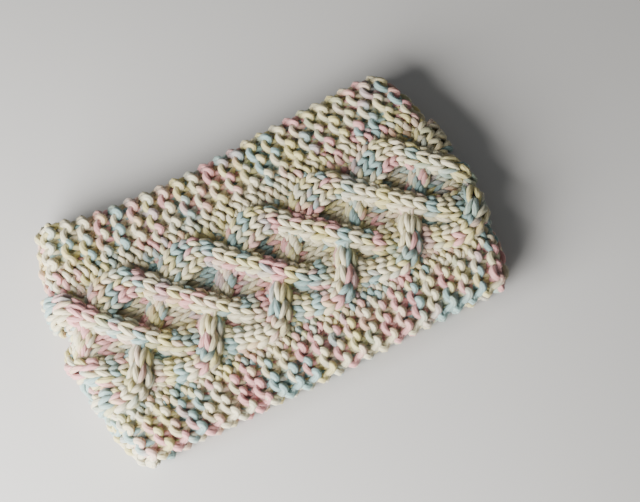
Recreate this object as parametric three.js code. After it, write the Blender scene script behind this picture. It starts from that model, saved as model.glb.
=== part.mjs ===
// A chunky cable knit headband: one closed loop of knitting that lies flat in two layers.
// Across its width it has three zones: a garter stitch edge, a four-strand plaited cable panel
// and another garter stitch edge. Millimetres: X runs along the flattened loop, Y across its
// width, and Z up from the surface that it lies on.
import * as THREE from "three";

// The loop
const ROWS = 96; // knitted rows once round
const BAND_WIDTH = 150;
const UPPER_EDGE_WIDTH = 42;
const LOWER_EDGE_WIDTH = 30;
const HOLLOW = 7; // open height between the two layers
const LOWER_LAYER = 7.6; // thickness of the layer underneath, which is pressed flat
const USUAL_THICKNESS = 9; // of the fabric, for the spacing of the rows round the folds
const ZONE_GAP = 0.3;
const LAYER_SLIP = 3.5; // the upper layer lies this much nearer to -Y than the one underneath
const UPPER_SLIP_SHARE = 0.36; // of the slip that the upper layer has moved, and the rest the lower one

// Half the length of the flattened loop, from one side of the band to the other: the garter
// stitch edges draw in, and the cables between them spread.
const END_BOW = [
  { across: 75, half: 105 },
  { across: 64, half: 108.5 },
  { across: 50, half: 113 },
  { across: 33, half: 116 },
  { across: 0, half: 117.5 },
  { across: -35, half: 117 },
  { across: -52, half: 114 },
  { across: -65, half: 109.5 },
  { across: -75, half: 105 },
];

// How far the fabric is pulled towards +Y along the loop, at its upper selvedge and at its lower
// one: the upper selvedge draws in between its corners, more towards -X.
const SWAY = [
  { along: -118, upper: -2, lower: 0 },
  { along: -105, upper: -1.5, lower: 0 },
  { along: -92, upper: -5.5, lower: 0.5 },
  { along: -77, upper: -8.5, lower: 1 },
  { along: -37, upper: -9.5, lower: 0.8 },
  { along: 5, upper: -7.3, lower: 0.4 },
  { along: 42, upper: -3.8, lower: 1.5 },
  { along: 82, upper: -1.4, lower: 2 },
  { along: 118, upper: -1, lower: 1 },
];

// How far the upper layer stands off from its resting height, along the loop: it puffs up
// towards the folds and sags between them.
const PUFF = [
  { along: -118, lift: 1.2 },
  { along: -95, lift: 2.2 },
  { along: -60, lift: 0.9 },
  { along: -15, lift: 0 },
  { along: 30, lift: 0.4 },
  { along: 70, lift: 1.1 },
  { along: 98, lift: 2.4 },
  { along: 118, lift: 1.4 },
];

// Cable panel: four strands of three stitches
const STRANDS = 4;
const ROWS_PER_CROSSING = 4;
const CROSSING_ROW = 50; // the row where the count of the first strand's crossings starts
const WEB_HEIGHT = 6; // fabric between the strands
const STRAND_CENTRE = 6.2; // of a strand that crosses nothing, above the inner face
const STRAND_LIFT = 2.8; // over or under it where two strands cross
const STRAND_HALF_THICKNESS = 4.4;
const STRAND_FULLNESS = 2.8; // 2 would be a parabola, and more is flatter on top
const NEAREST_STEP = 0.06; // of a crossing, between the points where a strand's line is tried
const NEAREST_REACH = 10; // such steps to each side

// One strand through its 32 rows, counted in crossings of four: its place across the panel, from
// 0 at the upper side to 3 at the lower one, whether it passes over (1) or under (-1) the strand
// that it crosses, and half its width. It slopes down as a long rope over two strands and under
// one, turns, climbs steeply over one and under two, and fans out where it turns again.
const PLAIT = [
  { crossing: 0, place: 0.2, level: 1, half: 9.6 },
  { crossing: 0.5, place: 0.7, level: 1, half: 8 },
  { crossing: 1, place: 1.15, level: 1, half: 7.6 },
  { crossing: 1.5, place: 1.66, level: 0.9, half: 7.6 },
  { crossing: 2, place: 2.1, level: 0.3, half: 7.8 },
  { crossing: 2.45, place: 2.42, level: -0.5, half: 8.6 },
  { crossing: 2.9, place: 2.64, level: -1, half: 9 },
  { crossing: 3.7, place: 2.94, level: -0.2, half: 9.2 },
  { crossing: 4.2, place: 3.14, level: 0.5, half: 8.2 },
  { crossing: 4.7, place: 3.13, level: 1, half: 7.6 },
  { crossing: 5.03, place: 2.74, level: 1, half: 7.4 },
  { crossing: 5.3, place: 2.07, level: 0.2, half: 7.6 },
  { crossing: 5.7, place: 1.57, level: -0.9, half: 8.6 },
  { crossing: 6.2, place: 1.02, level: -0.6, half: 9.6 },
  { crossing: 6.5, place: 0.62, level: -0.5, half: 11 },
  { crossing: 6.8, place: 0.32, level: -0.1, half: 12.4 },
  { crossing: 7.2, place: 0.14, level: 0.4, half: 12.8 },
  { crossing: 7.6, place: 0.06, level: 0.8, half: 11.6 },
];
const PLAIT_REPEAT = 8; // crossings

// Garter stitch edge, from the cable panel (0) to the selvedge (1): the height of its outer
// face above the inner one, and how much its ridges show there.
const EDGE_OUTER_FACE = [
  { across: 0, height: 7.4, ridge: 0.2 },
  { across: 0.16, height: 7, ridge: 0.3 },
  { across: 0.34, height: 8.6, ridge: 1 },
  { across: 0.62, height: 9, ridge: 1 },
  { across: 0.86, height: 8.6, ridge: 1 },
  { across: 0.97, height: 6.6, ridge: 0.6 },
];
const EDGE_INNER_FACE = [
  { across: 0.97, height: 2.2 },
  { across: 0.84, height: 0.2 },
  { across: 0.45, height: 0 },
  { across: 0, height: 0 },
];
const SELVEDGE_HEIGHT = 4.4;
const RIDGE_RELIEF = 0.8; // a ridge above, and the valley beside it below, the outer height
const SCALLOP = 1.2; // how far each ridge stands out along the selvedge

// Stations of the solids round the loop, in rows: closer together round the two folds
const PANEL_STEP = 0.8;
const EDGE_STEP = 1;
const FOLD_STEP = 0.5;
const FOLD_ROWS = 8; // that a fold and its two shoulders take up
const PANEL_CELLS = 20; // across the outer face
const PANEL_INNER_CELLS = 4; // across the inner face

const YARN = {
  edge: { color: 0xdad6cb, roughness: 0.92, metalness: 0 },
  panel: { color: 0xe0dbcf, roughness: 0.92, metalness: 0 },
};

const halfWidth = BAND_WIDTH / 2;
const panelTop = halfWidth - UPPER_EDGE_WIDTH;
const panelBottom = -halfWidth + LOWER_EDGE_WIDTH;
const strandPitch = (panelTop - panelBottom) / STRANDS;
const foldReach = HOLLOW / 2 + USUAL_THICKNESS;
const foldRadius = (HOLLOW + USUAL_THICKNESS) / 2;
const hollowCentre = LOWER_LAYER + HOLLOW / 2;

// The smooth curve through a table's rows, read from one column at a value of another.
function readTable(table, keyColumn, valueColumn, at) {
  const falling = table[0][keyColumn] > table[table.length - 1][keyColumn];
  const rows = falling ? [...table].reverse() : table;
  const last = rows.length - 1;
  const key = THREE.MathUtils.clamp(at, rows[0][keyColumn], rows[last][keyColumn]);
  let i = 0;
  while (i < last - 1 && rows[i + 1][keyColumn] < key) i += 1;
  const slope = (j) => {
    const before = rows[Math.max(j - 1, 0)];
    const after = rows[Math.min(j + 1, last)];
    return (after[valueColumn] - before[valueColumn]) / (after[keyColumn] - before[keyColumn]);
  };
  const span = rows[i + 1][keyColumn] - rows[i][keyColumn];
  const t = (key - rows[i][keyColumn]) / span;
  return hermite(t, rows[i][valueColumn], rows[i + 1][valueColumn], slope(i) * span, slope(i + 1) * span);
}

function hermite(t, from, to, slopeFrom, slopeTo) {
  const t2 = t * t;
  const t3 = t2 * t;
  return (
    (2 * t3 - 3 * t2 + 1) * from +
    (t3 - 2 * t2 + t) * slopeFrom +
    (3 * t2 - 2 * t3) * to +
    (t3 - t2) * slopeTo
  );
}

// The same for the plait, which repeats.
function readPlait(crossings, column) {
  const count = PLAIT.length;
  const at = THREE.MathUtils.euclideanModulo(crossings, PLAIT_REPEAT);
  let i = count - 1;
  while (PLAIT[i].crossing > at) i -= 1;
  const value = (j) => PLAIT[(j + count) % count][column];
  const place = (j) => PLAIT[(j + count) % count].crossing + PLAIT_REPEAT * Math.floor(j / count);
  const slope = (j) => (value(j + 1) - value(j - 1)) / (place(j + 1) - place(j - 1));
  const span = place(i + 1) - place(i);
  return hermite((at - place(i)) / span, value(i), value(i + 1), slope(i) * span, slope(i + 1) * span);
}

// Once round the loop along the middle of the fabric, at a place across the band.
function lengthRound(across) {
  const straight = readTable(END_BOW, "across", "half", across) - foldReach;
  return { straight, fold: Math.PI * foldRadius, round: 4 * straight + 2 * Math.PI * foldRadius };
}

// A point of the fabric: the row that it is in, its place across the band, and its height
// above the inner face. Row 0 is the middle of the lower layer, and the rows run on towards -X,
// over the left fold, along the upper layer to +X and back under the right fold.
function pointOfFabric(row, across, height) {
  const { straight, fold, round } = lengthRound(across);
  const off = HOLLOW / 2 + height;
  const s = (THREE.MathUtils.euclideanModulo(row, ROWS) / ROWS) * round;
  let x;
  let z;
  if (s < straight) {
    x = -s;
    z = hollowCentre - off;
  } else if (s < straight + fold) {
    const angle = (s - straight) / foldRadius;
    x = -straight - off * Math.sin(angle);
    z = hollowCentre - off * Math.cos(angle);
  } else if (s < 3 * straight + fold) {
    x = s - 2 * straight - fold;
    z = hollowCentre + off;
  } else if (s < 3 * straight + 2 * fold) {
    const angle = (s - 3 * straight - fold) / foldRadius;
    x = straight + off * Math.sin(angle);
    z = hollowCentre + off * Math.cos(angle);
  } else {
    x = round - s;
    z = hollowCentre - off;
  }
  const share = THREE.MathUtils.clamp((z - LOWER_LAYER) / HOLLOW, 0, 1);
  z += share * readTable(PUFF, "along", "lift", x);
  const upperSway = readTable(SWAY, "along", "upper", x);
  const lowerSway = readTable(SWAY, "along", "lower", x);
  const sway = THREE.MathUtils.lerp(lowerSway, upperSway, across / BAND_WIDTH + 0.5);
  const slip = LAYER_SLIP * (1 - UPPER_SLIP_SHARE - share);
  return new THREE.Vector3(x, across + sway + slip, Math.max(z, 0));
}

// The rows at which a loop has its sections: half a lower layer, a fold, the upper layer, a
// fold and the other half.
function stationsRound(step) {
  const fold = ROWS / 4;
  const otherFold = (3 * ROWS) / 4;
  const shoulder = FOLD_ROWS / 2;
  const stretches = [
    { start: 0, end: fold - shoulder, wanted: step },
    { start: fold - shoulder, end: fold + shoulder, wanted: FOLD_STEP },
    { start: fold + shoulder, end: otherFold - shoulder, wanted: step },
    { start: otherFold - shoulder, end: otherFold + shoulder, wanted: FOLD_STEP },
    { start: otherFold + shoulder, end: ROWS, wanted: step },
  ];
  const stations = [];
  for (const { start, end, wanted } of stretches) {
    const count = Math.round((end - start) / wanted);
    for (let i = 0; i < count; i += 1) {
      stations.push(start + ((end - start) * i) / count);
    }
  }
  return stations;
}

// The closed loop that a section makes when it is carried round. sectionAt(row) gives the
// section's points in order, first over the outer face towards -Y, then back over the inner one.
function loopOfFabric(step, sectionAt) {
  const rings = stationsRound(step).map((row) =>
    sectionAt(row).map((p) => pointOfFabric(row, p.across, p.height)),
  );
  const around = rings[0].length;
  const index = [];
  for (let i = 0; i < rings.length; i += 1) {
    const next = (i + 1) % rings.length;
    for (let j = 0; j < around; j += 1) {
      const side = (j + 1) % around;
      const here = i * around + j;
      const across = i * around + side;
      const along = next * around + j;
      const both = next * around + side;
      index.push(here, both, along, here, across, both);
    }
  }
  const geometry = new THREE.BufferGeometry().setFromPoints(rings.flat());
  geometry.setIndex(index);
  geometry.computeVertexNormals();
  return geometry;
}

// Height of the plait's outer face: the highest of the strands at a place, or the web. Each
// strand is judged at the nearest point of its centre line.
function plaitHeight(row, across) {
  const crossingLength = (ROWS_PER_CROSSING * lengthRound(0).round) / ROWS;
  let top = WEB_HEIGHT;
  for (let strand = 0; strand < STRANDS; strand += 1) {
    const crossings = (row - CROSSING_ROW) / ROWS_PER_CROSSING - 2 * strand;
    for (let step = -NEAREST_REACH; step <= NEAREST_REACH; step += 1) {
      const near = crossings + step * NEAREST_STEP;
      const centre = panelTop - (readPlait(near, "place") + 0.5) * strandPitch;
      const distance = Math.hypot(step * NEAREST_STEP * crossingLength, across - centre);
      const share = distance / readPlait(near, "half");
      if (share < 1) {
        const crown = STRAND_HALF_THICKNESS * (1 - 2 * share ** STRAND_FULLNESS);
        top = Math.max(top, STRAND_CENTRE + STRAND_LIFT * readPlait(near, "level") + crown);
      }
    }
  }
  return top;
}

function cablePanel() {
  const upper = panelTop - ZONE_GAP / 2;
  const lower = panelBottom + ZONE_GAP / 2;
  return loopOfFabric(PANEL_STEP, (row) => {
    const section = [];
    for (let j = 0; j <= PANEL_CELLS; j += 1) {
      const across = THREE.MathUtils.lerp(upper, lower, j / PANEL_CELLS);
      section.push({ across, height: plaitHeight(row, across) });
    }
    for (let j = 0; j <= PANEL_INNER_CELLS; j += 1) {
      const across = THREE.MathUtils.lerp(lower, upper, j / PANEL_INNER_CELLS);
      section.push({ across, height: 0 });
    }
    return section;
  });
}

// A garter stitch edge, from its side by the cable panel to its selvedge.
function garterEdge(start, selvedge) {
  const width = selvedge - start;
  const outwards = Math.sign(width);
  return loopOfFabric(EDGE_STEP, (row) => {
    const crest = Math.cos(Math.PI * row); // 1 on a ridge, -1 in the valley between two
    const outer = EDGE_OUTER_FACE.map((p) => ({
      across: start + width * p.across,
      height: p.height + crest * p.ridge * RIDGE_RELIEF,
    }));
    const inner = EDGE_INNER_FACE.map((p) => ({
      across: start + width * p.across,
      height: p.height,
    }));
    const lip = {
      across: selvedge + (outwards * (crest - 1) * SCALLOP) / 2,
      height: SELVEDGE_HEIGHT,
    };
    const section = [...outer, lip, ...inner];
    return outwards < 0 ? section : section.reverse();
  });
}

function piece(name, geometry, yarn) {
  const mesh = new THREE.Mesh(geometry, new THREE.MeshStandardMaterial(yarn));
  mesh.name = name;
  return mesh;
}

const headband = new THREE.Group();
headband.add(piece("cable_panel", cablePanel(), YARN.panel));
headband.add(piece("garter_edge_upper", garterEdge(panelTop + ZONE_GAP / 2, halfWidth), YARN.edge));
headband.add(piece("garter_edge_lower", garterEdge(panelBottom - ZONE_GAP / 2, -halfWidth), YARN.edge));

export default headband;
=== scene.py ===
import math

import bpy
import numpy as np
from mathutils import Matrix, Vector


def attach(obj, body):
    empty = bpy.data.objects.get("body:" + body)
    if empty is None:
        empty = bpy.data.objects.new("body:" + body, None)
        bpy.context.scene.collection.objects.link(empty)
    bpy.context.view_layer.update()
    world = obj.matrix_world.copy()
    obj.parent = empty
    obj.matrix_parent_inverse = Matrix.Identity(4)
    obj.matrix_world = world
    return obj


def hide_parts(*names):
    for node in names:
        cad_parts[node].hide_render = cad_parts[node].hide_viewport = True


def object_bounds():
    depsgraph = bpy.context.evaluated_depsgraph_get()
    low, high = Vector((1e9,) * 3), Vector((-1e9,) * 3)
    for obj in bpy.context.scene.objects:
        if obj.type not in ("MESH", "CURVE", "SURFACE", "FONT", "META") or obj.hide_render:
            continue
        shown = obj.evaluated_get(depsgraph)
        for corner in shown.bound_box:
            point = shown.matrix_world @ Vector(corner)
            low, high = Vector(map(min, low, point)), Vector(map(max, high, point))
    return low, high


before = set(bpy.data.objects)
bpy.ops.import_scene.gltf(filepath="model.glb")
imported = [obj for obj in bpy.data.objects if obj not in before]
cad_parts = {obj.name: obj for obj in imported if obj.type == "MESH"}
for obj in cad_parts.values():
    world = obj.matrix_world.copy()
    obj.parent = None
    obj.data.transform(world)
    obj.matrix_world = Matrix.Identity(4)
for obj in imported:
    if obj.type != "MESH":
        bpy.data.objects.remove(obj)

cadLow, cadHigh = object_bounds()
mm = 0.001
turn = 2 * math.pi
tiny = 1e-12  # keeps a length from being divided by nothing


# The band as it lies: a loop of 96 knitted rows, pressed flat in two layers. X runs along it in
# the direction of knitting, Y across it, and heights are measured outwards from its inner face.
band = {
    "rows": 96,
    "hollow": 7 * mm,  # open height between the layers
    "lowerLayer": 7.6 * mm,  # thickness of the layer underneath
    "usualThickness": 9 * mm,  # of the upper layer
    "halfWidth": 75 * mm,
    "panelTop": 33 * mm,
    "panelBottom": -45 * mm,
    # half the flattened loop's length: the garter edges draw in, the cables spread
    "bowAcross": [-75, -65, -52, -35, 0, 33, 50, 64, 75],
    "bowHalf": [105, 109.5, 114, 117, 117.5, 116, 113, 108.5, 105],
    # how far the upper and the lower selvedge are pulled towards +Y along the loop
    "swayAlong": [-118, -105, -92, -77, -37, 5, 42, 82, 118],
    "upperSway": [-2, -1.5, -5.5, -8.5, -9.5, -7.3, -3.8, -1.4, -1],
    "lowerSway": [0, 0, 0.5, 1, 0.8, 0.4, 1.5, 2, 1],
    "slip": 3.5 * mm,  # between the layers
    "upperSlipShare": 0.36,  # of the slip, which the upper layer takes towards -Y
    # the upper layer puffs up towards the folds and sags between them
    "puffAlong": [-118, -95, -60, -15, 30, 70, 98, 118],
    "puffLift": [1.2, 2.2, 0.9, 0, 0.4, 1.1, 2.4, 1.4],
    "floorSoftness": 0.4 * mm,  # height over which yarn is lifted off the floor
}


def readCurve(keys, values, at):
    # smooth curve through a short table, clamped at its ends
    keys, values = np.asarray(keys, float), np.asarray(values, float)
    slopes = np.empty(len(keys))
    slopes[1:-1] = (values[2:] - values[:-2]) / (keys[2:] - keys[:-2])
    slopes[0] = (values[1] - values[0]) / (keys[1] - keys[0])
    slopes[-1] = (values[-1] - values[-2]) / (keys[-1] - keys[-2])
    at = np.clip(at, keys[0], keys[-1])
    i = np.clip(np.searchsorted(keys, at, side="right") - 1, 0, len(keys) - 2)
    span = keys[i + 1] - keys[i]
    t = (at - keys[i]) / span
    t2, t3 = t * t, t * t * t
    return (
        (2 * t3 - 3 * t2 + 1) * values[i]
        + (t3 - 2 * t2 + t) * span * slopes[i]
        + (3 * t2 - 2 * t3) * values[i + 1]
        + (t3 - t2) * span * slopes[i + 1]
    )


def smoothStep(low, high, x):
    t = np.clip((x - low) / (high - low), 0, 1)
    return t * t * (3 - 2 * t)


def between(ends, share):
    return ends[0] + (ends[1] - ends[0]) * share


foldRadius = (band["hollow"] + band["usualThickness"]) / 2
foldReach = band["hollow"] / 2 + band["usualThickness"]
hollowCentre = band["lowerLayer"] + band["hollow"] / 2


def lengthRound(across):
    # half of a layer's straight length, a fold and the whole loop, at a place across the band
    straight = readCurve(band["bowAcross"], band["bowHalf"], across / mm) * mm - foldReach
    fold = math.pi * foldRadius
    return straight, fold, 4 * straight + 2 * fold


def placeOnBand(row, across, height):
    # row 0 is the middle of the lower layer, rows run to -X, up the left fold, back over to +X
    straight, fold, whole = lengthRound(across)
    off = band["hollow"] / 2 + height
    gone = np.mod(row, band["rows"]) / band["rows"] * whole
    leftFoldEnd = straight + fold
    rightFoldStart = leftFoldEnd + 2 * straight
    leftTurn = np.clip((gone - straight) / foldRadius, 0, math.pi)
    rightTurn = np.clip((gone - rightFoldStart) / foldRadius, 0, math.pi)
    stretches = [gone < straight, gone < leftFoldEnd, gone < rightFoldStart, gone < rightFoldStart + fold]
    x = np.select(
        stretches,
        [
            -gone,
            -straight - off * np.sin(leftTurn),
            gone - leftFoldEnd - straight,
            straight + off * np.sin(rightTurn),
        ],
        whole - gone,
    )
    z = np.select(
        stretches,
        [
            hollowCentre - off,
            hollowCentre - off * np.cos(leftTurn),
            hollowCentre + off,
            hollowCentre + off * np.cos(rightTurn),
        ],
        hollowCentre - off,
    )
    share = np.clip((z - band["lowerLayer"]) / band["hollow"], 0, 1)
    z = z + share * readCurve(band["puffAlong"], band["puffLift"], x / mm) * mm
    upperSway = readCurve(band["swayAlong"], band["upperSway"], x / mm) * mm
    lowerSway = readCurve(band["swayAlong"], band["lowerSway"], x / mm) * mm
    sway = between((lowerSway, upperSway), (across / band["halfWidth"] + 1) / 2)
    slip = band["slip"] * (1 - band["upperSlipShare"] - share)
    return np.stack([x, across + sway + slip, z], axis=-1)


def pressDown(points, radii, press):
    # the layer underneath is pressed flat, to the depth of press at most, and no yarn of it reaches
    # through the floor
    below = band["lowerLayer"] - points[..., 2]
    pressed = band["lowerLayer"] - press * (1 - np.exp(-below / press))
    points[..., 2] = np.where(below > 0, pressed, points[..., 2])
    softness = band["floorSoftness"]
    above = (points[..., 2] - radii) / softness
    points[..., 2] = radii + np.logaddexp(0, above) * softness
    return points


# Yarn: each stretch of it is a closed tube, with a map of its length and turn
yarn = {
    "sides": 8,
    "perStitch": 16,  # sections of the tube in one stitch
    # how far on along the yarn the next row takes its colours: shorter than the 655 mm of a modelled row,
    # so the runs keep their true length within a piece and not from one row to the next
    "colourStep": 476 * mm,
    "cutEnd": 0.7,  # how far a closed end stands out, in radii
    "steepStart": 0.8,  # rise of a tube's start, above which its first ring is set by X and not by Z
}


def unit(vectors):
    return vectors / np.maximum(np.linalg.norm(vectors, axis=-1, keepdims=True), tiny)


def dot(one, other):
    return (one * other).sum(-1, keepdims=True)


def carriedNormals(points, tangents):
    # normals that don't twist along the tube: each is the last one, mirrored twice
    normals = np.empty_like(points)
    start = tangents[:, 0]
    isFlat = np.abs(start[:, 2:3]) < yarn["steepStart"]
    aside = np.where(isFlat, [[0.0, 0.0, 1.0]], [[1.0, 0.0, 0.0]])
    normals[:, 0] = unit(np.cross(start, np.cross(aside, start)))
    for i in range(points.shape[1] - 1):
        step = points[:, i + 1] - points[:, i]
        mirror = 2 * step / np.maximum(dot(step, step), tiny)
        normal = normals[:, i] - dot(step, normals[:, i]) * mirror
        tangent = tangents[:, i] - dot(step, tangents[:, i]) * mirror
        change = tangents[:, i + 1] - tangent
        mirror = 2 * change / np.maximum(dot(change, change), tiny)
        normals[:, i + 1] = unit(normal - dot(change, normal) * mirror)
    return normals


def yarnMesh(name, lines, radii, yarnAt):
    # lines is (tubes, sections, 3), radii and yarnAt (tubes, sections)
    sides = yarn["sides"]
    tubes, sections = radii.shape
    tangents = unit(np.gradient(lines, axis=1))
    normals = carriedNormals(lines, tangents)
    across = np.cross(tangents, normals)
    angle = np.arange(sides) / sides * turn
    ring = (
        np.cos(angle)[None, None, :, None] * normals[:, :, None]
        + np.sin(angle)[None, None, :, None] * across[:, :, None]
    )
    rings = lines[:, :, None] + radii[:, :, None, None] * ring
    startPoles = lines[:, 0] - yarn["cutEnd"] * radii[:, :1] * tangents[:, 0]
    endPoles = lines[:, -1] + yarn["cutEnd"] * radii[:, -1:] * tangents[:, -1]
    poles = np.stack([startPoles, endPoles], axis=1)
    vertices = np.concatenate([rings.reshape(-1, 3), poles.reshape(-1, 3)])
    first = (np.arange(tubes) * sections * sides)[:, None, None]
    i = np.arange(sections - 1)[None, :, None]
    j = np.arange(sides)[None, None, :]
    following = (j + 1) % sides
    corners = [
        first + i * sides + j,
        first + i * sides + following,
        first + (i + 1) * sides + following,
        first + (i + 1) * sides + j,
    ]
    quads = np.stack(np.broadcast_arrays(*corners), axis=-1).reshape(-1, 4)
    poleAt = tubes * sections * sides + 2 * np.arange(tubes)[:, None]
    side = np.arange(sides)[None, :]
    nextSide = (side + 1) % sides
    startRing = first[:, 0]
    endRing = startRing + (sections - 1) * sides
    startCaps = np.stack(np.broadcast_arrays(poleAt, startRing + nextSide, startRing + side), axis=-1)
    endCaps = np.stack(np.broadcast_arrays(poleAt + 1, endRing + side, endRing + nextSide), axis=-1)
    caps = np.concatenate([startCaps, endCaps], axis=1).reshape(-1, 3)

    mesh = bpy.data.meshes.new(name)
    loops = np.concatenate([quads.ravel(), caps.ravel()]).astype(np.int32)
    mesh.vertices.add(len(vertices))
    mesh.vertices.foreach_set("co", vertices.astype(np.float32).ravel())
    mesh.loops.add(len(loops))
    mesh.loops.foreach_set("vertex_index", loops)
    starts = np.concatenate([np.arange(len(quads)) * 4, len(quads) * 4 + np.arange(len(caps)) * 3])
    mesh.polygons.add(len(starts))
    mesh.polygons.foreach_set("loop_start", starts.astype(np.int32))
    mesh.polygons.foreach_set("use_smooth", np.ones(len(starts), bool))

    # U is metres along the yarn, V goes once round it
    u = yarnAt[:, :, None]
    uQuads = np.stack(np.broadcast_arrays(u[:, :-1], u[:, :-1], u[:, 1:], u[:, 1:]), axis=-1)
    uQuads = np.broadcast_to(uQuads, (tubes, sections - 1, sides, 4))
    v = np.stack([j / sides, (j + 1) / sides, (j + 1) / sides, j / sides], axis=-1)
    vQuads = np.broadcast_to(v, (tubes, sections - 1, sides, 4))
    uStart = np.broadcast_to(yarnAt[:, :1, None], (tubes, sides, 3))
    uEnd = np.broadcast_to(yarnAt[:, -1:, None], (tubes, sides, 3))
    uCaps = np.concatenate([uStart, uEnd], axis=1)
    around = np.arange(sides)[None, :] / sides
    forward = np.stack([around + 0.5 / sides, around + 1 / sides, around], axis=-1)
    backward = np.stack([around + 0.5 / sides, around, around + 1 / sides], axis=-1)
    vCaps = np.broadcast_to(np.concatenate([forward, backward], axis=1), (tubes, 2 * sides, 3))
    uAll = np.concatenate([uQuads.ravel(), uCaps.ravel()])
    vAll = np.concatenate([vQuads.ravel(), vCaps.ravel()])
    uv = np.stack([uAll, vAll], axis=-1)
    layer = mesh.uv_layers.new(name="yarnMap", do_init=False)
    layer.uv.foreach_set("vector", uv.astype(np.float32).ravel())
    mesh.update(calc_edges=True)
    mesh.validate()
    piece = bpy.data.objects.new(name, mesh)
    bpy.context.scene.collection.objects.link(piece)
    return piece


def arcLengths(lines):
    steps = np.linalg.norm(np.diff(lines, axis=1), axis=-1)
    return np.concatenate([np.zeros((len(lines), 1)), np.cumsum(steps, axis=1)], axis=1)


def perStitchNoise(rng, rows, stitches, samples, amount):
    # one random value a stitch, joined smoothly along the row
    values = rng.normal(0, amount, (rows, stitches + 2))
    at = np.linspace(0, stitches, samples) + 0.5
    i = np.floor(at).astype(int)
    t = smoothStep(0, 1, at - i)
    following = np.minimum(i + 1, stitches + 1)
    return between((values[:, i], values[:, following]), t)


# Cable strands: four strands of three knit stitches, plaited
strands = {
    "count": 4,
    "stitches": 3,
    "rowsPerCrossing": 4,
    "crossingRow": 50,  # at which the first strand's path starts
    "repeat": 8,  # crossings in one strand's whole path, which all four follow one after the other
    # one strand's path: crossing, place across (0 top, 3 bottom), over (1) or under (-1), half width
    # in mm, and how far round its side stitches roll, in degrees
    "pathColumns": ("crossing", "place", "level", "half", "roll"),
    "path": [
        (0, 0.2, 1, 9.4, 72),
        (0.5, 0.7, 1, 7.6, 104),
        (1, 1.15, 1, 7.2, 112),
        (1.5, 1.66, 0.9, 7.2, 112),
        (1.9, 2.02, 0.5, 7.4, 104),
        (2.15, 2.22, 0.2, 8.6, 80),
        (2.45, 2.35, -0.2, 10.6, 54),
        (2.85, 2.46, -0.8, 12.6, 40),
        (3.3, 2.7, -0.7, 10.8, 58),
        (3.7, 2.94, -0.2, 8.8, 80),
        (4.2, 3.13, 0.5, 8, 98),
        (4.5, 3.15, 0.9, 7.5, 104),
        (4.75, 3.05, 1, 7.4, 105),
        (5, 2.76, 1, 7.2, 105),
        (5.25, 2.22, 0.5, 7.2, 98),
        (5.5, 1.8, -0.4, 7.8, 75),
        (5.75, 1.51, -0.9, 8.6, 58),
        (6.2, 1.02, -0.6, 9.8, 45),
        (6.5, 0.62, -0.5, 11.4, 36),
        (6.8, 0.32, -0.1, 13, 33),
        (7.2, 0.14, 0.4, 13.6, 33),
        (7.6, 0.06, 0.8, 12, 45),
    ],
    "middle": 7.4 * mm,  # height of the knitted layer's middle where nothing crosses
    "lift": 2.8 * mm,  # how far a strand rises over another, and sinks under it
    "lean": 0.27,  # how far its legs open into a V, in stitches
    "loopHeight": 1.02,  # rows that each loop reaches, both ways from its own
    "legFront": 1.6 * mm,  # its legs arch up in front, and its heads and feet lie behind
    "legBack": 2.6 * mm,
    "legDive": 1.3,  # the higher, the shorter the part of a leg in front
    "tipLift": 0.9 * mm,  # lays the point of each V over the open ends of the last
    "fanRadius": 1.45 * mm,  # of the yarn in a fan, and in a rope that bunches it up
    "ropeRadius": 1.62 * mm,
    "hiddenShare": 0.4,  # of that radius, where a leg dives and at its front
    "frontShare": 1.1,
    "roundness": 4 * mm,  # drop of the strand's sides, as a round rope's
    "rowTurn": 0.85,  # of a rope's slant that its rows follow, and those of a fan stay square to the band
    "turnRoll": (40, 110),  # roll of the sides from which the rows turn, and at which they have turned
    "bunchRoll": (40, 105),  # and the same for the yarn's bunching up
    "slopeStep": 0.04,  # crossings to each side, over which the path's slope is read
    "endLength": 0.5,  # both ends of a row go down into the fabric over this much of its path
    "endDepth": 2.2 * mm,
    "press": 8 * mm,
    # unevenness of the knitting
    "looseRows": 0.05,
    "looseLoops": 0.05,
    "looseDepth": 0.22 * mm,
    "looseRadius": 0.06,
    "seed": 100,
}


def crossingsAt(strand, row):
    headStart = strand * strands["repeat"] / strands["count"]
    return (row - strands["crossingRow"]) / strands["rowsPerCrossing"] - headStart


def readPath(name, crossings):
    path = np.array(strands["path"])
    column = strands["pathColumns"].index(name)
    repeat = strands["repeat"]
    keys = np.concatenate([path[-2:, 0] - repeat, path[:, 0], path[:2, 0] + repeat])
    values = np.concatenate([path[-2:, column], path[:, column], path[:2, column]])
    return readCurve(keys, values, np.mod(crossings, repeat))


def strandPoint(strand, row, side, depth):
    # side is in stitches from the strand's middle, depth outwards from its knitted layer
    crossings = crossingsAt(strand, row)
    pitch = (band["panelTop"] - band["panelBottom"]) / strands["count"]
    place = readPath("place", crossings)
    level = readPath("level", crossings)
    half = readPath("half", crossings) * mm
    roll = readPath("roll", crossings)
    rowLength = lengthRound(0)[2] / band["rows"]
    step = strands["slopeStep"]
    drift = (readPath("place", crossings - step) - readPath("place", crossings + step)) * pitch / 2
    slant = np.arctan2(drift, step * strands["rowsPerCrossing"] * rowLength)
    widest = np.radians(roll)
    sideways = np.sin(np.minimum(widest, math.pi / 2))
    # the yarn's own thickness and the arch of its legs are taken off the strand's half width
    visibleHalf = half - strands["frontShare"] * strands["fanRadius"] - strands["legFront"] * sideways
    angle = side / (strands["stitches"] / 2) * widest
    aside = (visibleHalf / sideways + depth) * np.sin(angle)
    drop = strands["roundness"] * (1 - np.cos(angle))
    tilt = strands["rowTurn"] * smoothStep(*strands["turnRoll"], roll) * slant
    across = band["panelTop"] - (place + 0.5) * pitch + aside * np.cos(tilt)
    along = row - aside * np.sin(tilt) / rowLength
    height = strands["middle"] + strands["lift"] * level - drop + depth * np.cos(angle)
    return along, across, height


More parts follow.
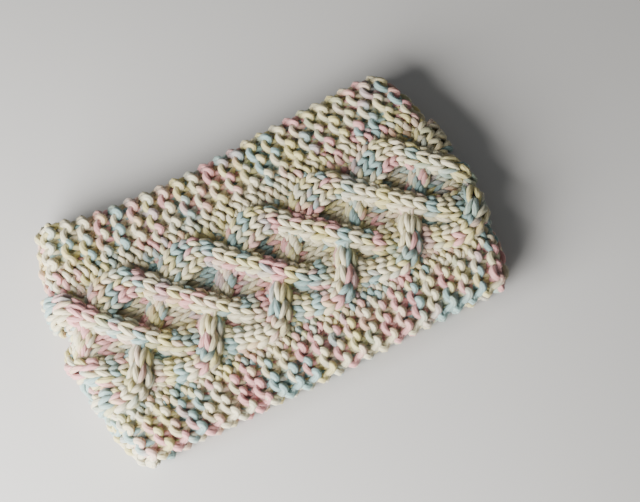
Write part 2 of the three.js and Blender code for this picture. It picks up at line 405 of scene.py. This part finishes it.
def cableStrand(strand):
    rng = np.random.default_rng(strands["seed"] + strand)
    rows, stitches = band["rows"], strands["stitches"]
    samples = stitches * yarn["perStitch"] + 1
    t = np.linspace(0, stitches * turn, samples)[None, :]
    row = np.arange(rows)[:, None] + 0 * t
    loose = perStitchNoise(rng, rows, stitches, samples, 1)
    side = t / turn - stitches / 2 + strands["lean"] * np.sin(2 * t)
    reach = strands["loopHeight"] * (1 + strands["looseLoops"] * loose)
    front = (0.5 - 0.5 * np.cos(2 * t)) ** strands["legDive"]
    depth = strands["legFront"] * front - strands["legBack"] * (1 - front)
    depth = depth + strands["tipLift"] * np.cos(t)
    depth = depth + perStitchNoise(rng, rows, stitches, samples, strands["looseDepth"])
    along, across, height = strandPoint(strand, row - reach * np.cos(t), side, depth)
    along = along + perStitchNoise(rng, rows, stitches, samples, strands["looseRows"])
    fromEnd = np.minimum(t, stitches * turn - t)
    height = height - strands["endDepth"] * np.clip(1 - fromEnd / strands["endLength"], 0, 1)
    # legs that a rope bunches up are thicker than those that a fan spreads
    bunched = smoothStep(*strands["bunchRoll"], readPath("roll", crossingsAt(strand, row)))
    thickness = between((strands["fanRadius"], strands["ropeRadius"]), bunched)
    radii = thickness * between((strands["hiddenShare"], strands["frontShare"]), front)
    radii = radii * (1 + perStitchNoise(rng, rows, stitches, samples, strands["looseRadius"]))
    lines = pressDown(placeOnBand(along, across, height), radii, strands["press"])
    # the yarn goes to and fro across the band, one way in each odd row and back in the next
    lengths = arcLengths(lines)
    direction = np.where(np.arange(rows) % 2 == 1, 1, -1)[:, None]
    share = (cadHigh[1] - across.mean(axis=1, keepdims=True)) / (cadHigh[1] - cadLow[1])
    middle = (np.arange(rows)[:, None] + np.where(direction > 0, share, 1 - share)) * yarn["colourStep"]
    yarnAt = middle - direction * (lengths - lengths[:, -1:] / 2)
    return yarnMesh(f"cableStrand{strand + 1}", lines, radii, yarnAt)


# Garter stitch edges, with columns of purl beside the cables and under them
edges = {
    "garterStitches": 3,
    "rowShift": -0.5,  # puts each ridge on an even row
    "middle": 4.6 * mm,
    "headFront": 2.8 * mm,  # the heads of a ridge stand out by this, its feet by the next
    "footFront": 2.3 * mm,
    "back": 1.4 * mm,  # and the valleys lie back by this
    "purlBlend": 0.15,  # stitches over which purl turns to garter stitch
    "headDive": 1.6,  # plump heads dive soon, over the ends of the long feet
    "footDive": 1.3,
    "headLean": 0.06,  # in stitches, as a strand's lean
    "footLean": 0.22,
    "headLoop": 0.8,  # in rows, as a strand's loop height
    "footLoop": 1.0,
    "headBulge": 0.5,  # heads are straighter than feet, which have 1
    "headRadius": 1.92 * mm,
    "footRadius": 1.86 * mm,
    "garterSwell": (0.98, 1.03),  # share of the radius behind and in front
    "purlFront": 1.8 * mm,
    "purlBack": 1.3 * mm,
    "purlDive": 0.75,
    "purlLean": 0.17,
    "purlLoop": 0.8,
    "purlRadius": 1.65 * mm,
    "purlSwell": (0.95, 1.05),
    "footSkew": 0.03,  # rows that each foot tilts by
    "edgeLoop": 3 * mm,  # how far each turn of the yarn stands out past the last stitch
    "bendSections": 3,  # of the tube, in each of those turns
    "lastFoot": 3,  # sections of a row's last foot, which the turn takes the place of
    "tuckedDepth": 2.2 * mm,  # of the inmost purl stitch, which lies under the cables
    "tuckedEnd": (0.4, 1.4),  # stitches over which it comes up again
    "press": 12 * mm,
    # unevenness of the knitting
    "looseAcross": 0.35 * mm,
    "looseLoops": 0.06,
    "looseRows": 0.07,
    "looseDepth": 0.3 * mm,
    "looseRadius": 0.06,
}

upperEdge = {
    "name": "garterEdgeAbove",
    "outwards": 1,  # towards +Y
    "purlKnots": [25.5 * mm, 33.5 * mm],  # distance from the middle at which each purl stitch starts
    "garterStart": 41.5 * mm,
    "garterEnd": 71 * mm,
    "firstRow": 0,
    "headSkew": 0.17,  # rows that each head tilts by
    "seed": 7,
}

lowerEdge = {
    "name": "garterEdgeBelow",
    "outwards": -1,
    "purlKnots": [38 * mm, 44 * mm],
    "garterStart": 50 * mm,
    "garterEnd": 74 * mm,
    "firstRow": 1,
    "headSkew": 0.04,
    "seed": 8,
}


def garterEdge(edge):
    # yarn comes out of the panel along one row, turns at the selvedge and goes back along the next
    rng = np.random.default_rng(edge["seed"])
    outwards, firstRow = edge["outwards"], edge["firstRow"]
    purls, garters = len(edge["purlKnots"]), edges["garterStitches"]
    garterKnots = np.linspace(edge["garterStart"], edge["garterEnd"], garters + 1)
    knots = np.concatenate([edge["purlKnots"], garterKnots])
    stitches = purls + garters
    widths = np.diff(knots)
    pairs = band["rows"] // 2
    samples = stitches * yarn["perStitch"] + 1
    t = np.linspace(0, stitches * turn, samples)[None, :]
    stitch = t / turn
    isGarter = smoothStep(purls - edges["purlBlend"], purls + edges["purlBlend"], stitch)
    localWidth = np.interp(stitch, np.arange(stitches) + 0.5, widths)
    headShare = 0.5 - 0.5 * np.cos(t)  # 1 at the head of a stitch, 0 at its feet
    purlFront = np.abs(np.cos(t)) ** (2 * edges["purlDive"])
    purlDepth = edges["purlFront"] * purlFront - edges["purlBack"] * (1 - purlFront)
    purlRadius = edges["purlRadius"] * between(edges["purlSwell"], purlFront)
    middle = edges["middle"] - edges["tuckedDepth"] * (1 - smoothStep(*edges["tuckedEnd"], stitch))
    halves = []
    for half in range(2):
        rowNumber = firstRow + 2 * np.arange(pairs)[:, None] + half
        isPurlRow = np.mod(rowNumber, 2) == 1  # its feet are in front and its heads behind
        inFront = np.where(isPurlRow, (1 - headShare) ** edges["footDive"], headShare ** edges["headDive"])
        front = np.where(isPurlRow, edges["footFront"], edges["headFront"])
        garterDepth = front * inFront - edges["back"] * (1 - inFront)
        garterLean = np.where(isPurlRow, edges["footLean"], edges["headLean"])
        garterLoop = np.where(isPurlRow, edges["footLoop"], edges["headLoop"])
        garterRadius = np.where(isPurlRow, edges["footRadius"], edges["headRadius"])
        garterRadius = garterRadius * between(edges["garterSwell"], inFront)
        reach = between((edges["purlLoop"], garterLoop), isGarter)
        depth = between((purlDepth, garterDepth), isGarter)
        lean = between((edges["purlLean"], garterLean), isGarter)
        radii = between((purlRadius, garterRadius), isGarter)
        acrossNoise, loopNoise, rowNoise, depthNoise, radiusNoise = (
            perStitchNoise(rng, pairs, stitches, samples, 1) for _ in range(5)
        )
        across = np.interp(stitch, np.arange(stitches + 1), knots) + lean * localWidth * np.sin(2 * t)
        across = across + edges["looseAcross"] * acrossNoise
        bulge = np.where(isPurlRow, 1, between((1, edges["headBulge"]), isGarter * headShare))
        swing = np.sign(np.cos(t)) * np.abs(np.cos(t)) ** bulge
        reach = reach * (1 + edges["looseLoops"] * loopNoise)
        along = rowNumber + edges["rowShift"] - reach * swing + edges["looseRows"] * rowNoise
        along = along - outwards * (edges["footSkew"] + edge["headSkew"] * headShare) * np.sin(2 * t)
        height = middle + depth + edges["looseDepth"] * depthNoise
        radii = radii * (1 + edges["looseRadius"] * radiusNoise)
        halves.append([along, across + 0 * along, height, radii + 0 * along])
    # the last foot of each row is left out, and the yarn bends round to the next row
    keep = samples - edges["lastFoot"]
    out = [part[:, :keep] for part in halves[0]]
    back = [part[:, :keep][:, ::-1] for part in halves[1]]
    share = (np.arange(edges["bendSections"]) + 1)[None, :] / (edges["bendSections"] + 1)
    bend = [between((a[:, -1:], b[:, :1]), share) for a, b in zip(out, back)]
    bend[1] = bend[1] + edges["edgeLoop"] * np.sin(math.pi * share)  # further across
    along, across, height, radii = (np.concatenate(parts, axis=1) for parts in zip(out, bend, back))
    lines = pressDown(placeOnBand(along, outwards * across, height), radii, edges["press"])
    lengths = arcLengths(lines)
    middleOfYarn = (firstRow + 1 + 2 * np.arange(pairs))[:, None] * yarn["colourStep"]
    yarnAt = middleOfYarn + lengths - lengths[:, -1:] / 2
    return yarnMesh(edge["name"], lines, radii, yarnAt)


# Ground: the loops behind, seen only deep in the pits of the plait and between the ridges
ground = {
    "middle": 3.1 * mm,
    "depth": 1 * mm,  # its loops go in and out by this
    "lean": 0.26,
    "loopHeight": 0.9,
    "radius": 1.35 * mm,
    "perStitch": 8,  # sections, fewer than where the yarn shows
    "press": 8 * mm,
    "looseRows": 0.06,
    # where each lies across the band, and the metre of yarn that it starts at
    "underPlait": {"high": 33 * mm, "low": -45 * mm, "stitches": 12, "yarnStart": 2, "seed": 40},
    "underUpperEdge": {"high": 68 * mm, "low": 33 * mm, "stitches": 6, "yarnStart": 2.05, "seed": 41},
    "underLowerEdge": {"high": -45 * mm, "low": -72 * mm, "stitches": 5, "yarnStart": 2.1, "seed": 42},
}


def groundLoops(name):
    zone, rows = ground[name], band["rows"]
    rng = np.random.default_rng(zone["seed"])
    stitches = zone["stitches"]
    samples = stitches * ground["perStitch"] + 1
    t = np.linspace(0, stitches * turn, samples)[None, :]
    row = np.arange(rows)[:, None] + 0 * t
    width = (zone["high"] - zone["low"]) / stitches
    across = zone["high"] - width * (t / turn + ground["lean"] * np.sin(2 * t)) + 0 * row
    along = row - ground["loopHeight"] * np.cos(t)
    along = along + perStitchNoise(rng, rows, stitches, samples, ground["looseRows"])
    height = ground["middle"] - ground["depth"] * np.cos(2 * t) + 0 * row
    radii = ground["radius"] + 0 * row
    lines = pressDown(placeOnBand(along, across, height), radii, ground["press"])
    yarnAt = zone["yarnStart"] + row[:, :1] * yarn["colourStep"] + arcLengths(lines)
    return yarnMesh(name, lines, radii, yarnAt)


# Materials
def linear(hexColour):
    values = [int(hexColour[i:i + 2], 16) / 255 for i in (1, 3, 5)]
    return [v / 12.92 if v <= 0.04045 else ((v + 0.055) / 1.055) ** 2.4 for v in values] + [1.0]


def addNode(tree, kind, settings, inputs):
    # one node, its settings by name, and its inputs by name or number, as values or as sockets to link
    node = tree.nodes.new(kind)
    for name, value in settings.items():
        setattr(node, name, value)
    for name, value in inputs.items():
        if isinstance(value, bpy.types.NodeSocket):
            tree.links.new(value, node.inputs[name])
        else:
            node.inputs[name].default_value = value
    return node


# Chunky acrylic and wool blend, spun soft in three plies of two strands and dyed in short runs
dyedYarn = {
    "base": "#BDB599",  # cream
    # dyes over the cream: colour, where its noise starts, and the level above which yarn takes the dye
    "dyes": {
        "yellow": ("#B9AF79", 3, 0.46),
        "pink": ("#BC8886", 31, 0.51),
        "blue": ("#7E9794", 57, 0.515),
    },
    "runSpacing": 1000 / 9 * mm,  # from one run of a dye to the next
    "runDetail": 1.5,  # how uneven those runs are
    "runRoughness": 0.45,
    "blend": 0.12,  # how softly one colour goes into the next
    "plies": 3,  # each shows as two ridges, one for each of its strands
    "plyPitch": 14 * mm,  # from one ply to the next along the yarn, so each goes round once in 42 mm
    "plyDepth": 0.5 * mm,
    "plyBump": 0.35,
    "fibreLength": 2 * mm,  # of the tufts of fibre that show, which are drawn coarser than single fibres
    "fibreCount": 4,  # of those tufts side by side on the yarn's radius
    "fibreDetail": 4,
    "fibreRoughness": 0.6,
    "fibreDepth": 0.3 * mm,
    "fibreBump": 0.2,
    "fibreNoise": (0.3, 0.7),  # part of the noise that shows, from its lowest to its highest
    "fibreShade": (0.9, 1.06),  # fibres take the dye unevenly
    "roughness": 0.75,
    "ior": 1.5,
    "sheen": 0.35,
    "sheenRoughness": 0.45,
    "sheenTint": "#FFFDF6",
    "softGlow": 0.35,  # light that goes on through the fluffy yarn
    "glowReach": 1.6 * mm,
    "glowByColour": (1.0, 0.8, 0.65),
}


def runsOfDye(tree, length):
    # each dye comes and goes along the yarn
    colour = linear(dyedYarn["base"])
    for dye, begins, threshold in dyedYarn["dyes"].values():
        at = addNode(tree, "ShaderNodeMath", {"operation": "ADD"}, {0: length, 1: begins})
        noise = addNode(
            tree, "ShaderNodeTexNoise", {"noise_dimensions": "1D"},
            {
                "W": at.outputs[0],
                "Scale": 1 / dyedYarn["runSpacing"],
                "Detail": dyedYarn["runDetail"],
                "Roughness": dyedYarn["runRoughness"],
            },
        )
        mask = addNode(
            tree, "ShaderNodeMapRange", {"interpolation_type": "SMOOTHSTEP"},
            {"Value": noise.outputs[0], "From Min": threshold, "From Max": threshold + dyedYarn["blend"]},
        )
        mix = addNode(
            tree, "ShaderNodeMix", {"data_type": "RGBA"}, {0: mask.outputs[0], 6: colour, 7: linear(dye)}
        )
        colour = mix.outputs[2]
    return colour


def tuftsOfFibre(tree, length, angle):
    # noise round the yarn without a seam, drawn out along it
    along = 1 / (dyedYarn["fibreLength"] * dyedYarn["fibreCount"])
    stretched = addNode(tree, "ShaderNodeMath", {"operation": "MULTIPLY"}, {0: length, 1: along})
    cosine = addNode(tree, "ShaderNodeMath", {"operation": "COSINE"}, {0: angle})
    sine = addNode(tree, "ShaderNodeMath", {"operation": "SINE"}, {0: angle})
    spot = addNode(
        tree, "ShaderNodeCombineXYZ", {},
        {0: stretched.outputs[0], 1: cosine.outputs[0], 2: sine.outputs[0]},
    )
    fibre = addNode(
        tree, "ShaderNodeTexNoise", {"noise_dimensions": "3D"},
        {
            "Vector": spot.outputs[0],
            "Scale": dyedYarn["fibreCount"],
            "Detail": dyedYarn["fibreDetail"],
            "Roughness": dyedYarn["fibreRoughness"],
        },
    )
    return fibre.outputs[0]


def ridgesOfPlies(tree, length, angle):
    # the strands of the plies wind round the yarn, with a groove between neighbours
    winding = addNode(
        tree, "ShaderNodeMath", {"operation": "MULTIPLY"}, {0: length, 1: turn / dyedYarn["plyPitch"]}
    )
    plyAngle = addNode(
        tree, "ShaderNodeMath", {"operation": "MULTIPLY_ADD"},
        {0: angle, 1: dyedYarn["plies"], 2: winding.outputs[0]},
    )
    wave = addNode(tree, "ShaderNodeMath", {"operation": "COSINE"}, {0: plyAngle.outputs[0]})
    ridge = addNode(tree, "ShaderNodeMath", {"operation": "ABSOLUTE"}, {0: wave.outputs[0]})
    return ridge.outputs[0]


def dyedYarnMaterial():
    # matt, with a pale bloom of fibres at grazing angles and shallow grooves between its plies
    material = bpy.data.materials.new("dyedChunkyYarn")
    material.use_nodes = True
    tree = material.node_tree
    tree.nodes.clear()
    uv = addNode(tree, "ShaderNodeUVMap", {"uv_map": "yarnMap"}, {})
    parts = addNode(tree, "ShaderNodeSeparateXYZ", {}, {0: uv.outputs[0]})
    length = parts.outputs[0]
    roundYarn = addNode(tree, "ShaderNodeMath", {"operation": "MULTIPLY"}, {0: parts.outputs[1], 1: turn})
    angle = roundYarn.outputs[0]
    fibre = tuftsOfFibre(tree, length, angle)
    plyBump = addNode(
        tree, "ShaderNodeBump", {},
        {
            "Strength": dyedYarn["plyBump"],
            "Distance": dyedYarn["plyDepth"],
            "Height": ridgesOfPlies(tree, length, angle),
        },
    )
    fibreBump = addNode(
        tree, "ShaderNodeBump", {},
        {
            "Strength": dyedYarn["fibreBump"],
            "Distance": dyedYarn["fibreDepth"],
            "Height": fibre,
            "Normal": plyBump.outputs[0],
        },
    )
    lowest, highest = dyedYarn["fibreNoise"]
    deepest, palest = dyedYarn["fibreShade"]
    shade = addNode(
        tree, "ShaderNodeMapRange", {},
        {"Value": fibre, "From Min": lowest, "From Max": highest, "To Min": deepest, "To Max": palest},
    )
    tinted = addNode(
        tree, "ShaderNodeVectorMath", {"operation": "SCALE"},
        {0: runsOfDye(tree, length), "Scale": shade.outputs[0]},
    )
    shader = addNode(
        tree, "ShaderNodeBsdfPrincipled", {},
        {
            "Base Color": tinted.outputs[0],
            "Roughness": dyedYarn["roughness"],
            "IOR": dyedYarn["ior"],
            "Sheen Weight": dyedYarn["sheen"],
            "Sheen Roughness": dyedYarn["sheenRoughness"],
            "Sheen Tint": linear(dyedYarn["sheenTint"]),
            "Subsurface Weight": dyedYarn["softGlow"],
            "Subsurface Radius": dyedYarn["glowByColour"],
            "Subsurface Scale": dyedYarn["glowReach"],
            "Normal": fibreBump.outputs[0],
        },
    )
    addNode(tree, "ShaderNodeOutputMaterial", {}, {0: shader.outputs[0]})
    return material


yarnFinish = dyedYarnMaterial()
print("yarn material ready")


def finishPiece(piece, node):
    piece.data.materials.append(yarnFinish)
    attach(piece, "root")
    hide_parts(node)
    print(piece.name, "polygons", len(piece.data.polygons))


for strand in range(strands["count"]):
    finishPiece(cableStrand(strand), "cable_panel")
finishPiece(groundLoops("underPlait"), "cable_panel")
finishPiece(groundLoops("underUpperEdge"), "garter_edge_upper")
finishPiece(groundLoops("underLowerEdge"), "garter_edge_lower")
finishPiece(garterEdge(upperEdge), "garter_edge_upper")
finishPiece(garterEdge(lowerEdge), "garter_edge_lower")
print("knitting done")


# Matt painted board for a floor, which takes soft shadows and has no shine, with light and camera
studio = {
    "floorSize": 6,
    "floorColour": "#BDBCBA",
    "floorRoughness": 0.85,
    "worldColour": "#F4F6F8",
    "worldStrength": 0.185,
    "keySize": 0.6,
    "keyPower": 34,
    "keyPlace": (-0.59, -0.25, 0.235),
    "keyColour": (1.0, 0.985, 0.96),
}


def makeStudio():
    bpy.ops.object.select_all(action="DESELECT")
    bpy.ops.mesh.primitive_plane_add(size=studio["floorSize"], location=(0, 0, 0))
    floor = bpy.context.object
    floor.name = "paleFloor"
    material = bpy.data.materials.new("paleMattFloor")
    material.use_nodes = True
    shader = material.node_tree.nodes["Principled BSDF"]
    shader.inputs["Base Color"].default_value = linear(studio["floorColour"])
    shader.inputs["Roughness"].default_value = studio["floorRoughness"]
    floor.data.materials.append(material)
    world = bpy.data.worlds.new("softStudio")
    world.use_nodes = True
    background = world.node_tree.nodes["Background"]
    background.inputs[0].default_value = linear(studio["worldColour"])
    background.inputs[1].default_value = studio["worldStrength"]
    bpy.context.scene.world = world
    lamp = bpy.data.lights.new("softWindow", "AREA")
    lamp.shape = "SQUARE"
    lamp.size = studio["keySize"]
    lamp.energy = studio["keyPower"]
    lamp.color = studio["keyColour"]
    key = bpy.data.objects.new("softWindow", lamp)
    key.location = studio["keyPlace"]
    key.rotation_euler = (-Vector(studio["keyPlace"])).to_track_quat("-Z", "Y").to_euler()
    bpy.context.scene.collection.objects.link(key)


cameraView = {
    "azimuth": -27.0,
    "elevation": 67.5,
    "distance": 0.62,
    "lens": 65.0,
    "sensorWidth": 36,
    "aim": (0.0257, -0.0092, 0.012),
}


def makeCamera():
    data = bpy.data.cameras.new("photoCamera")
    data.lens = cameraView["lens"]
    data.sensor_width = cameraView["sensorWidth"]
    camera = bpy.data.objects.new("photoCamera", data)
    a, e = math.radians(cameraView["azimuth"]), math.radians(cameraView["elevation"])
    back = Vector((math.sin(a) * math.cos(e), -math.cos(a) * math.cos(e), math.sin(e)))
    camera.location = Vector(cameraView["aim"]) + cameraView["distance"] * back
    camera.rotation_euler = (-back).to_track_quat("-Z", "Y").to_euler()
    bpy.context.scene.collection.objects.link(camera)
    bpy.context.scene.camera = camera


makeStudio()
makeCamera()
print("studio ready")
